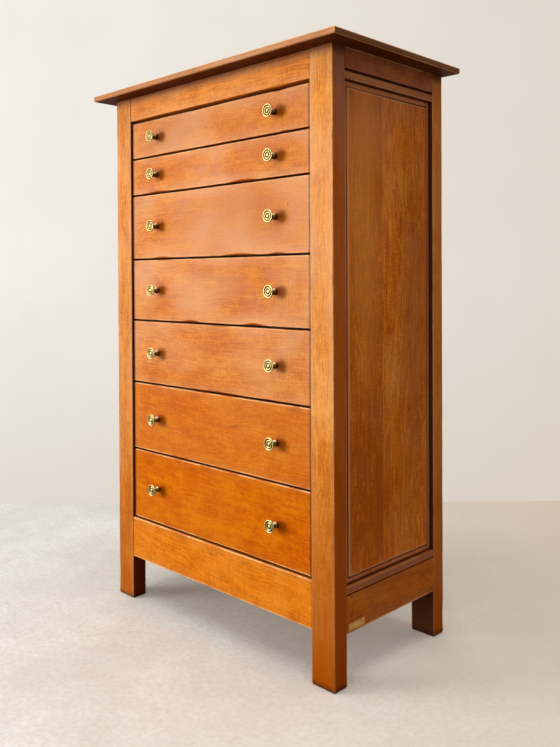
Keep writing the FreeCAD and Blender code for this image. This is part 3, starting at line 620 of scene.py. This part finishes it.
MARKS = {
    1: [(-160, 1264, 170, 60, 0, "B87038", 0.5), (-20, 1262, 12, 1.6, 4, CRACK, 0.4),
        (5, 1261, 14, 1.4, 0, CRACK, 0.4)],
    2: [(327, 1190, 1.6, 12, 0, CRACK, 0.8), (326, 1165, 1.4, 8, 0, CRACK, 0.7)],
    3: [(90, 1027, 320, 130, 0, "C07034", 0.5), (-270, 1080, 60, 40, 30, PALE, 0.3),
        (262, 1052, 1.8, 6, 0, CRACK, 0.7), (328, 1000, 1.6, 20, 0, CRACK, 0.8),
        (328, 960, 1.6, 8, 0, CRACK, 0.8), (-314, 1030, 4, 1.2, 0, CRACK, 0.6)],
    4: [(-280, 860, 60, 90, 0, PALE, 0.3), (268, 890, 70, 44, 50, PALE, 0.25),
        # the pale patch across the middle is painted sheen
        (-20, 860, 160, 60, 8, PALE, 0.3),
        (266, 865, 57, 1.3, 75, SCRATCH, 0.6), (281, 864, 54, 1.1, 82, SCRATCH, 0.5),
        (-296, 880, 26, 1.6, 80, SCRATCH, 0.35), (-299, 858, 14, 1.2, 86, SCRATCH, 0.3)],
    5: [(-290, 740, 60, 34, 0, PALE, 0.2), (262, 735, 60, 40, 30, PALE, 0.4),
        (-8, 752, 8, 1.1, 14, CRACK, 0.6), (10, 752, 9, 1.1, -10, CRACK, 0.6),
        (232, 716, 3, 1.4, 0, CRACK, 0.6), (326, 690, 1.6, 26, 0, CRACK, 0.6)],
    6: [(78, 530, 20, 3.4, 12, "8A3A10", 0.6), (84, 529, 9, 1.4, 16, CRACK, 0.7),
        (284, 509, 36, 0.8, 8, CRACK, 0.45)],
    7: [(110, 372, 6, 2.2, 0, CRACK, 0.3), (-60, 300, 5, 2.4, 0, CRACK, 0.25)],
}
LOW_CHERRY = dict(CHERRY, pale="DC8010", ripe="D06C00", deep="BC5800", bloom_and_sheen="C47228", haze=0.25,
                  sheen=0.07)
LOWEST_CHERRY = dict(LOW_CHERRY, pale="DE7E00", ripe="D26A00", deep="BC5400", bloom_and_sheen="B46418", haze=0.2,
                     sheen=0.03)
FRONT_TONES = {6: LOW_CHERRY, 7: LOWEST_CHERRY}
UNDER_EDGE = [((0, -0.7, -0.7), "B05006", 0.9)]  # the eased lower edge, out of the light
KNOB_SPREAD = 222  # from the middle
KNOB_SHADOW, END_GAP_SHADE = "A03C00", "561804"  # a painted shadow round each knob, set to its right, and painted shade along a front's ends, by the gaps
for number in DRAWERS:
    name = f"drawer_{number}_front"
    low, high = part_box(name)
    front = on_the_bench(name)
    wear(front, 0, [0, low.y, high.z], [0, 1, -1], UPPER_WEAR[number])
    wear(front, 0, [0, low.y, low.z], [0, 1, 1], LOWER_WEAR[number])
    knob_low, knob_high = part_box(f"drawer_{number}_knobs")
    level = (knob_low.z + knob_high.z) / 2 / MM
    # A painted shadow of each knob, a little to its right.
    knob_shadows = [(x, level, 27, 24, 0, KNOB_SHADOW, 0.6) for x in (KNOB_SPREAD + 8, 8 - KNOB_SPREAD)]
    # Painted shade of the gaps along both ends of the front.
    shaded_ends = [(x, level, 8, 900, 0, END_GAP_SHADE, 0.85) for x in (low.x / MM, high.x / MM)]
    wood = waxed_cherry(name + "_cherry", "x", 121.7 + 3 * number, (low, high),
                        FRONT_TONES.get(number, CHERRY), marks=MARKS[number] + knob_shadows + shaded_ends,
                        bold=0.9, dull_faces=UNDER_EDGE, rub=0.9 if number > 5 else 0.5)
    finish_piece(front, f"worn_drawer_{number}_front", f"drawer_{number}", wood, "front_wood", name)


# --- Knobs -------------------------------------------------------------------------------------
# Cast and turned brass: a ball foot, a thin neck and a flat head with two turned rings round a
# boss. Unlacquered, so the rings are bright and the hollows have gone nearly black. Each is held
# by a slotted brass screw through the drawer front.

KNOB_PROFILE = [  # distance from the axis, height above the wood, in millimetres
    (6.6, 0.0), (7.0, 0.9), (7.9, 3.0), (8.3, 5.2), (7.7, 7.6), (5.8, 9.6), (3.9, 10.9), (3.4, 13.0),
    (3.6, 17.0), (5.4, 19.4), (10.4, 21.0), (14.6, 22.0), (15.5, 22.8), (15.5, 24.5), (14.7, 25.3),
    (12.9, 25.4), (12.0, 24.4), (11.6, 23.8), (10.2, 23.7), (9.6, 24.5), (9.0, 25.2), (7.3, 25.2),
    (6.7, 24.4), (6.3, 23.8), (4.9, 23.7), (4.3, 24.4), (3.5, 25.2), (1.8, 25.5), (0.0, 25.5),
]
AROUND = 28
HOLLOW_REACH = 3 * MM  # of the tarnish, out of a hollow between rings
HEAD_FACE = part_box("drawer_1_knobs")[0].y
YOUNG_BRASS, OLD_BRASS, RUBBED_BRASS, TOP_HIGHLIGHT = "745E2A", "5A4218", "BCA86E", "EEE0BC"
HOLLOW, POLISH_DIRT, UNDERSIDE_SHADE = "241806", "2A1C08", "241606"
SCREW_HEAD, SCREW_PROUD, SCREW_SLOT, SLOT_DEPTH = 4.2 * MM, 1.6 * MM, 1.0 * MM, 0.96 * MM


def aged_brass(name):
    """Turned brass, tarnished: pale gold on the rubbed rings, nearly black between and behind them,
    and painted bright above as a highlight and dark below as shade."""
    material, tree = new_material(name)
    place = add(tree, "TexCoord", {}, "Object")
    patches = add(tree, "TexNoise", {"Vector": place, "Scale": 1 / (6 * MM), "Detail": 3.0}, "Fac")
    older = add(tree, "MapRange", {0: patches, 1: 0.35, 2: 0.7})
    reach = add(tree, "SeparateXYZ", {0: place}, "Y")
    rubbed = add(tree, "MapRange", {0: reach, 1: HEAD_FACE + 1.5 * MM, 2: HEAD_FACE + 0.2 * MM})
    hollow = shut_in(tree, HOLLOW_REACH, 0.55, 0.98, 0.95)
    sunk = add(tree, "MapRange", {0: reach, 1: HEAD_FACE + 0.7 * MM, 2: HEAD_FACE + 1.3 * MM,
                                  3: 0.0, 4: 0.8})
    on_head = add(tree, "MapRange", {0: reach, 1: HEAD_FACE + 2.4 * MM, 2: HEAD_FACE + 3.6 * MM,
                                     3: 1.0, 4: 0.0})
    sunk = add(tree, "Math", {0: sunk, 1: on_head}, operation="MULTIPLY")
    # Painted light: paler where it faces up, as a highlight, and darker where it faces down, as shade.
    normal = add(tree, "NewGeometry", {}, "Normal")
    upward = add(tree, "SeparateXYZ", {0: normal}, "Z")
    below = add(tree, "MapRange", {0: upward, 1: 0.1, 2: -0.6, 3: 0.0, 4: 0.85})
    above = add(tree, "MapRange", {0: upward, 1: 0.35, 2: 0.8, 3: 0.0, 4: 0.9})
    colour = add(tree, "Mix", {0: older, 6: linear(YOUNG_BRASS), 7: linear(OLD_BRASS)}, 2,
                 data_type="RGBA")
    for share, code in ((rubbed, RUBBED_BRASS), (hollow, HOLLOW), (sunk, POLISH_DIRT),
                        (below, UNDERSIDE_SHADE), (above, TOP_HIGHLIGHT)):
        colour = add(tree, "Mix", {0: share, 6: colour, 7: linear(code)}, 2, data_type="RGBA")
    rough = add(tree, "MapRange", {0: patches, 1: 0.3, 2: 0.7, 3: 0.28, 4: 0.4})
    turned = add(tree, "Bump", {"Strength": 0.2, "Distance": 0.1 * MM, "Height": patches}, "Normal")
    shader = add(tree, "BsdfPrincipled", {"Base Color": colour, "Roughness": rough, "Metallic": 1.0,
                                          "Normal": turned})
    add(tree, "OutputMaterial", {0: shader}, None)
    return material


def turn_knob(bm, foot):
    """Turns one knob about an axis that runs forward from its foot on the wood."""
    ring = [bm.verts.new(foot + Vector((radius, -height, 0)) * MM) for radius, height in KNOB_PROFILE]
    chain = [bm.edges.new(pair) for pair in zip(ring, ring[1:])]
    bmesh.ops.spin(bm, geom=ring + chain, cent=foot, axis=(0, 1, 0), angle=2 * math.pi,
                   steps=AROUND, use_merge=True)


def cut_screw(bm, seat, turn):
    """A slotted screw head on the inside of a front, its slot turned to where it was tightened."""
    where = Matrix.Translation(seat) @ Matrix.Rotation(-math.pi / 2, 4, "X") @ Matrix.Rotation(turn, 4, "Z")
    made = bmesh.ops.create_cone(bm, cap_ends=True, segments=24, radius1=SCREW_HEAD,
                                 radius2=SCREW_HEAD * 0.86, depth=2 * SCREW_PROUD, matrix=where)
    across = (where.to_3x3() @ Vector((1, 0, 0))).normalized()
    outward = Vector((0, 1, 0))
    for side in (-1, 1):
        geom = [g for v in made["verts"] if v.is_valid for g in (v, *v.link_edges, *v.link_faces)]
        cut = bmesh.ops.bisect_plane(bm, geom=list(set(geom)), dist=1e-7,
                                     plane_co=seat + across * side * SCREW_SLOT / 2, plane_no=across)
        made["verts"] += [g for g in cut["geom_cut"] if isinstance(g, bmesh.types.BMVert)]
    tops = {f for v in made["verts"] if v.is_valid for f in v.link_faces if f.normal.dot(outward) > 0.9}
    caps = [f for f in tops if abs((f.calc_center_median() - seat).dot(across)) < SCREW_SLOT / 4]
    sunk = bmesh.ops.extrude_face_region(bm, geom=caps)
    deeper = [g for g in sunk["geom"] if isinstance(g, bmesh.types.BMVert)]
    bmesh.ops.translate(bm, verts=deeper, vec=-outward * SLOT_DEPTH)
    bmesh.ops.delete(bm, geom=caps, context="FACES_ONLY")


brass = aged_brass("turned_brass")
for number in DRAWERS:
    drawer = f"drawer_{number}"
    front_low, front_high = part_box(drawer + "_front")
    knob_low, knob_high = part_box(drawer + "_knobs")
    reach = (knob_high.z - knob_low.z) / 2
    middle = (knob_low.z + knob_high.z) / 2
    knobs = bmesh.new()
    screws = bmesh.new()
    for x in (knob_low.x + reach, knob_high.x - reach):
        turn_knob(knobs, Vector((x, front_low.y, middle)))
        stop = number * 0.9 + x * 5  # each screw stops at an angle of its own
        cut_screw(screws, Vector((x, front_high.y, middle)), stop)
    bmesh.ops.remove_doubles(knobs, verts=knobs.verts, dist=2 * WELD)
    bmesh.ops.recalc_face_normals(knobs, faces=knobs.faces)
    for face in knobs.faces:
        face.smooth = True
    pair = finish_piece(knobs, drawer + "_turned_knobs", drawer, brass, "brass_knobs", drawer + "_knobs")
    rounding = pair.modifiers.new("rounding", "SUBSURF")
    rounding.levels = rounding.render_levels = 1
    finish_piece(screws, drawer + "_knob_screws", drawer, brass, "brass_knobs")


# --- Small brass plate and plug ------------------------------------------------------------------
# A bare brass plate pinned low on the right-hand bottom rail, behind the front post, and a wooden
# plug over a screw at the top of the right-hand top rail.

PLATE_LOW = Vector((0, -143.5, 121.5)) * MM  # from the rail's face, the middle and the floor
PLATE_HIGH = Vector((0.9, -89.5, 136.5)) * MM
PLATE_CORNER, PLATE_RIM = 1.6 * MM, 0.25 * MM
PIN_INSET, PIN_HEAD = 3.5 * MM, 1.1 * MM
PLUG_PLACE, PLUG_RADIUS, PLUG_PROUD, PLUG_RIM = Vector((0, 0.154, 1.3775)), 5 * MM, 0.8 * MM, 0.4 * MM
PLUG_CHERRY = dict(CHERRY, pale="8A4A1C", ripe="74380F", deep="4C2208")  # end grain, dark with wax

# Rolled brass, rubbed along its length: pale gold with browner patches.
plate_brass, tree = new_material("rubbed_brass")
place = add(tree, "TexCoord", {}, "Object")
drawn = add(tree, "VectorMath", {0: place, 1: (1, 0.12, 1)}, operation="MULTIPLY")
rub = add(tree, "TexNoise", {"Vector": drawn, "Scale": 1 / (0.9 * MM), "Detail": 3.0}, "Fac")
tarnish = add(tree, "TexNoise", {"Vector": place, "Scale": 1 / (9 * MM), "Detail": 3.0}, "Fac")
dull = add(tree, "MapRange", {0: tarnish, 1: 0.4, 2: 0.62, 3: 0.0, 4: 0.45})
colour = add(tree, "Mix", {0: rub, 6: linear("A47834"), 7: linear("DCB66C")}, 2, data_type="RGBA")
colour = add(tree, "Mix", {0: dull, 6: colour, 7: linear("8E6428")}, 2, data_type="RGBA")
rough = add(tree, "MapRange", {0: rub, 1: 0.3, 2: 0.7, 3: 0.34, 4: 0.5})
shader = add(tree, "BsdfPrincipled", {"Base Color": colour, "Metallic": 1.0, "Roughness": rough})
add(tree, "OutputMaterial", {0: shader}, None)


def ease_rim(bm, edges, width, segments):
    """Rounds edges over to a width."""
    bmesh.ops.bevel(bm, geom=edges, offset=width, offset_type="OFFSET", segments=segments,
                    profile=0.5, affect="EDGES", material=-1)


rail_low, rail_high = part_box("right_side_bottom_rail")
plate = bmesh.new()
face = Vector((rail_high.x, 0, 0))
middle = face + (PLATE_LOW + PLATE_HIGH) / 2
size = PLATE_HIGH - PLATE_LOW
bmesh.ops.create_cube(plate, size=1.0, matrix=Matrix.Translation(middle) @ Matrix.Diagonal((*size, 1)))
corners = [e for e in plate.edges if abs(e.verts[0].co.x - e.verts[1].co.x) > size.x / 2]
ease_rim(plate, corners, PLATE_CORNER, 4)
rim = [e for e in plate.edges if all(v.co.x > middle.x for v in e.verts)]
ease_rim(plate, rim, PLATE_RIM, 2)
for y in (PLATE_LOW.y + PIN_INSET, PLATE_HIGH.y - PIN_INSET):
    bmesh.ops.create_uvsphere(plate, u_segments=12, v_segments=8, radius=PIN_HEAD,
                              matrix=Matrix.Translation((face.x + size.x, y, middle.z)))
finish_piece(plate, "bare_brass_plate", "carcass", plate_brass, "brass_knobs")

plug = bmesh.new()
rail_low, rail_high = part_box("right_side_top_rail")
seat = Vector((rail_high.x, PLUG_PLACE.y, PLUG_PLACE.z))
bmesh.ops.create_cone(plug, cap_ends=True, segments=28, radius1=PLUG_RADIUS, radius2=PLUG_RADIUS,
                      depth=2 * PLUG_PROUD,
                      matrix=Matrix.Translation(seat) @ Matrix.Rotation(math.pi / 2, 4, "Y"))
rim = [e for e in plug.edges if all(v.co.x > seat.x + PLUG_PROUD / 2 for v in e.verts)]
ease_rim(plug, rim, PLUG_RIM, 2)
finish_piece(plug, "wooden_plug", "carcass", waxed_cherry("plug_end_grain", "x", 141.0, tone=PLUG_CHERRY),
             "frame_wood")


# --- Floor, wall and light -----------------------------------------------------------------------
# A pale, smooth floor and a plain pale wall, lit by a large soft lamp from the front left and a
# weaker one from above.

EYE = Vector((1.4927, -1.4610, 0.8858))
HEADING, TILT, ROLL = math.radians(44.536), math.radians(-0.578), math.radians(0.274)
# In pixels: the focal length, the height of the picture, and the row that the lens looks at.
FOCAL_PIXELS, PICTURE_HEIGHT, AXIS_ROW = 791.06, 747, 286.51
SENSOR = 36.0  # in millimetres, along the longer side
RIGHTWARD = (math.cos(HEADING), math.sin(HEADING), 0)
WALL_DISTANCE, WALL_REACH, FLOOR_REACH = 3.12, 7.0, 9.0

camera_data = bpy.data.cameras.new("camera")
camera_data.sensor_width = SENSOR
camera_data.lens = FOCAL_PIXELS * SENSOR / PICTURE_HEIGHT
camera_data.shift_y = -(PICTURE_HEIGHT / 2 - AXIS_ROW) / PICTURE_HEIGHT
camera = bpy.data.objects.new("camera", camera_data)
camera.location = EYE
camera.rotation_euler = (math.pi / 2 + TILT, ROLL, HEADING)
bpy.context.scene.collection.objects.link(camera)
bpy.context.scene.camera = camera


def in_view(tree):
    """1 for rays that end in the eye, also off a shine or through glass, and 0 for those that light."""
    seen, shiny, through = add(tree, "LightPath", {}, ["Is Camera Ray", "Is Glossy Ray",
                                                       "Is Transmission Ray"])
    shown = add(tree, "Math", {0: seen, 1: shiny}, operation="MAXIMUM")
    return add(tree, "Math", {0: shown, 1: through}, operation="MAXIMUM")


# Polished concrete: pale, clouded and finely speckled, a little warmer to the right. The light sees
# it greyer than the eye does, so that it throws less up at the chest.
floor_material, tree = new_material("polished_concrete")
place = add(tree, "TexCoord", {}, "Object")
clouds = add(tree, "TexNoise", {"Vector": place, "Scale": 1 / (400 * MM), "Detail": 6.0,
                                "Roughness": 0.6}, "Fac")
blots = add(tree, "TexNoise", {"Vector": place, "Scale": 1 / (60 * MM), "Detail": 5.0}, "Fac")
grit = add(tree, "TexNoise", {"Vector": place, "Scale": 1 / (12 * MM), "Detail": 4.0}, "Fac")
cloudy = add(tree, "MapRange", {0: clouds, 1: 0.38, 2: 0.62})
blotted = add(tree, "MapRange", {0: blots, 1: 0.4, 2: 0.7, 3: 0.0, 4: 0.3})
gritty = add(tree, "MapRange", {0: grit, 1: 0.35, 2: 0.7, 3: 0.0, 4: 0.5})
rightward = add(tree, "VectorMath", {0: place, 1: RIGHTWARD}, "Value", operation="DOT_PRODUCT")
warmer = add(tree, "MapRange", {0: rightward, 1: -0.5, 2: 1.1, 3: 0.0, 4: 0.95})
pale = add(tree, "Mix", {0: cloudy, 6: linear("DEE3E5"), 7: linear("F2F8FA")}, 2, data_type="RGBA")
pale = add(tree, "Mix", {0: blotted, 6: pale, 7: linear("D2CDC6")}, 2, data_type="RGBA")
pale = add(tree, "Mix", {0: gritty, 6: pale, 7: linear("C6C0B8")}, 2, data_type="RGBA")
pale = add(tree, "Mix", {0: warmer, 6: pale, 7: linear("DCCCBA")}, 2, data_type="RGBA")
shown = in_view(tree)
colour = add(tree, "Mix", {0: shown, 6: linear("9C958D"), 7: pale}, 2, data_type="RGBA")
glow = add(tree, "Math", {0: shown, 1: 0.12}, operation="MULTIPLY")
shader = add(tree, "BsdfPrincipled", {"Base Color": colour, "Roughness": 0.75, "Specular IOR Level": 0.25,
                                      "Emission Color": linear("FFF0E2"), "Emission Strength": glow})
add(tree, "OutputMaterial", {0: shader}, None)

floor_bm = bmesh.new()
bmesh.ops.create_grid(floor_bm, x_segments=1, y_segments=1, size=FLOOR_REACH)
floor = placed(floor_bm, "floor", floor_material)
floor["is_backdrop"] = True

# Pale plaster: plain and even, slightly darker to the right and towards the floor. From behind it
# is clear, so that it never hides the chest.
wall_material, tree = new_material("pale_plaster")
place = add(tree, "TexCoord", {}, "Object")
side = add(tree, "VectorMath", {0: place, 1: RIGHTWARD}, "Value", operation="DOT_PRODUCT")
rise = add(tree, "SeparateXYZ", {0: place}, "Z")
across = add(tree, "MapRange", {0: side, 1: -1.1, 2: 1.1})
down = add(tree, "MapRange", {0: rise, 1: 0.9, 2: 0.0, 3: 0.0, 4: 0.6})
skim = add(tree, "TexNoise", {"Vector": place, "Scale": 1 / (250 * MM), "Detail": 6.0}, "Fac")
skim = add(tree, "MapRange", {0: skim, 1: 0.3, 2: 0.7, 3: 0.0, 4: 0.12})
colour = add(tree, "Mix", {0: across, 6: linear("F6F2EB"), 7: linear("E2D9CE")}, 2, data_type="RGBA")
colour = add(tree, "Mix", {0: down, 6: colour, 7: linear("D6CBBE")}, 2, data_type="RGBA")
colour = add(tree, "Mix", {0: skim, 6: colour, 7: linear("D2C6B6")}, 2, data_type="RGBA")
backs = add(tree, "NewGeometry", {}, "Backfacing")
lit = add(tree, "Emission", {"Color": colour, "Strength": 1.0})
clear = add(tree, "BsdfTransparent", {})
add(tree, "OutputMaterial", {0: add(tree, "MixShader", {0: backs, 1: lit, 2: clear})}, None)

wall_bm = bmesh.new()
bmesh.ops.create_grid(wall_bm, x_segments=1, y_segments=1, size=WALL_REACH)
ahead = Vector((-math.sin(HEADING), math.cos(HEADING), 0))
bmesh.ops.rotate(wall_bm, verts=wall_bm.verts, matrix=ahead.to_track_quat("-Z", "Y").to_matrix())
wall_place = EYE + ahead * WALL_DISTANCE
bmesh.ops.translate(wall_bm, verts=wall_bm.verts, vec=(wall_place.x, wall_place.y, WALL_REACH))
wall = placed(wall_bm, "wall", wall_material)
wall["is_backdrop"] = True
# It is only looked at: it neither lights nor shades the chest.
wall.visible_diffuse = wall.visible_glossy = wall.visible_shadow = wall.visible_transmission = False

world = bpy.data.worlds.new("studio")
world.use_nodes = True
tree = world.node_tree
tree.nodes.clear()
shown = in_view(tree)
fill = add(tree, "Background", {"Color": linear("FFFBF4"), "Strength": 0.38})
backdrop = add(tree, "Background", {"Color": linear("ECE3D9"), "Strength": 1.0})
add(tree, "OutputWorld", {0: add(tree, "MixShader", {0: shown, 1: fill, 2: backdrop})}, None)
bpy.context.scene.world = world

LAMPS = {  # place, what it is aimed at, width, height, spread in degrees, watts
    "softbox": ((-4.6, -5.55, 1.5), (0, 0, 0.9), 3.2, 2.5, 80, 93),
    "overhead": ((0.2, -0.6, 3.3), (0.2, -0.6, 0), 3.0, 3.0, 180, 60),
}
for name, (place, aim, width, height, spread, watts) in LAMPS.items():
    lamp_data = bpy.data.lights.new(name, "AREA")
    lamp_data.shape = "RECTANGLE"
    lamp_data.size, lamp_data.size_y = width, height
    lamp_data.energy = watts
    lamp_data.spread = math.radians(spread)
    lamp_data.color = linear("FFFAF2")[:3]
    lamp = bpy.data.objects.new(name, lamp_data)
    lamp.location = place
    lamp.visible_camera = False
    lamp.rotation_euler = (Vector(aim) - lamp.location).to_track_quat("-Z", "Y").to_euler()
    bpy.context.scene.collection.objects.link(lamp)

bpy.context.scene.view_settings.view_transform = "Standard"

low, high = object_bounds()
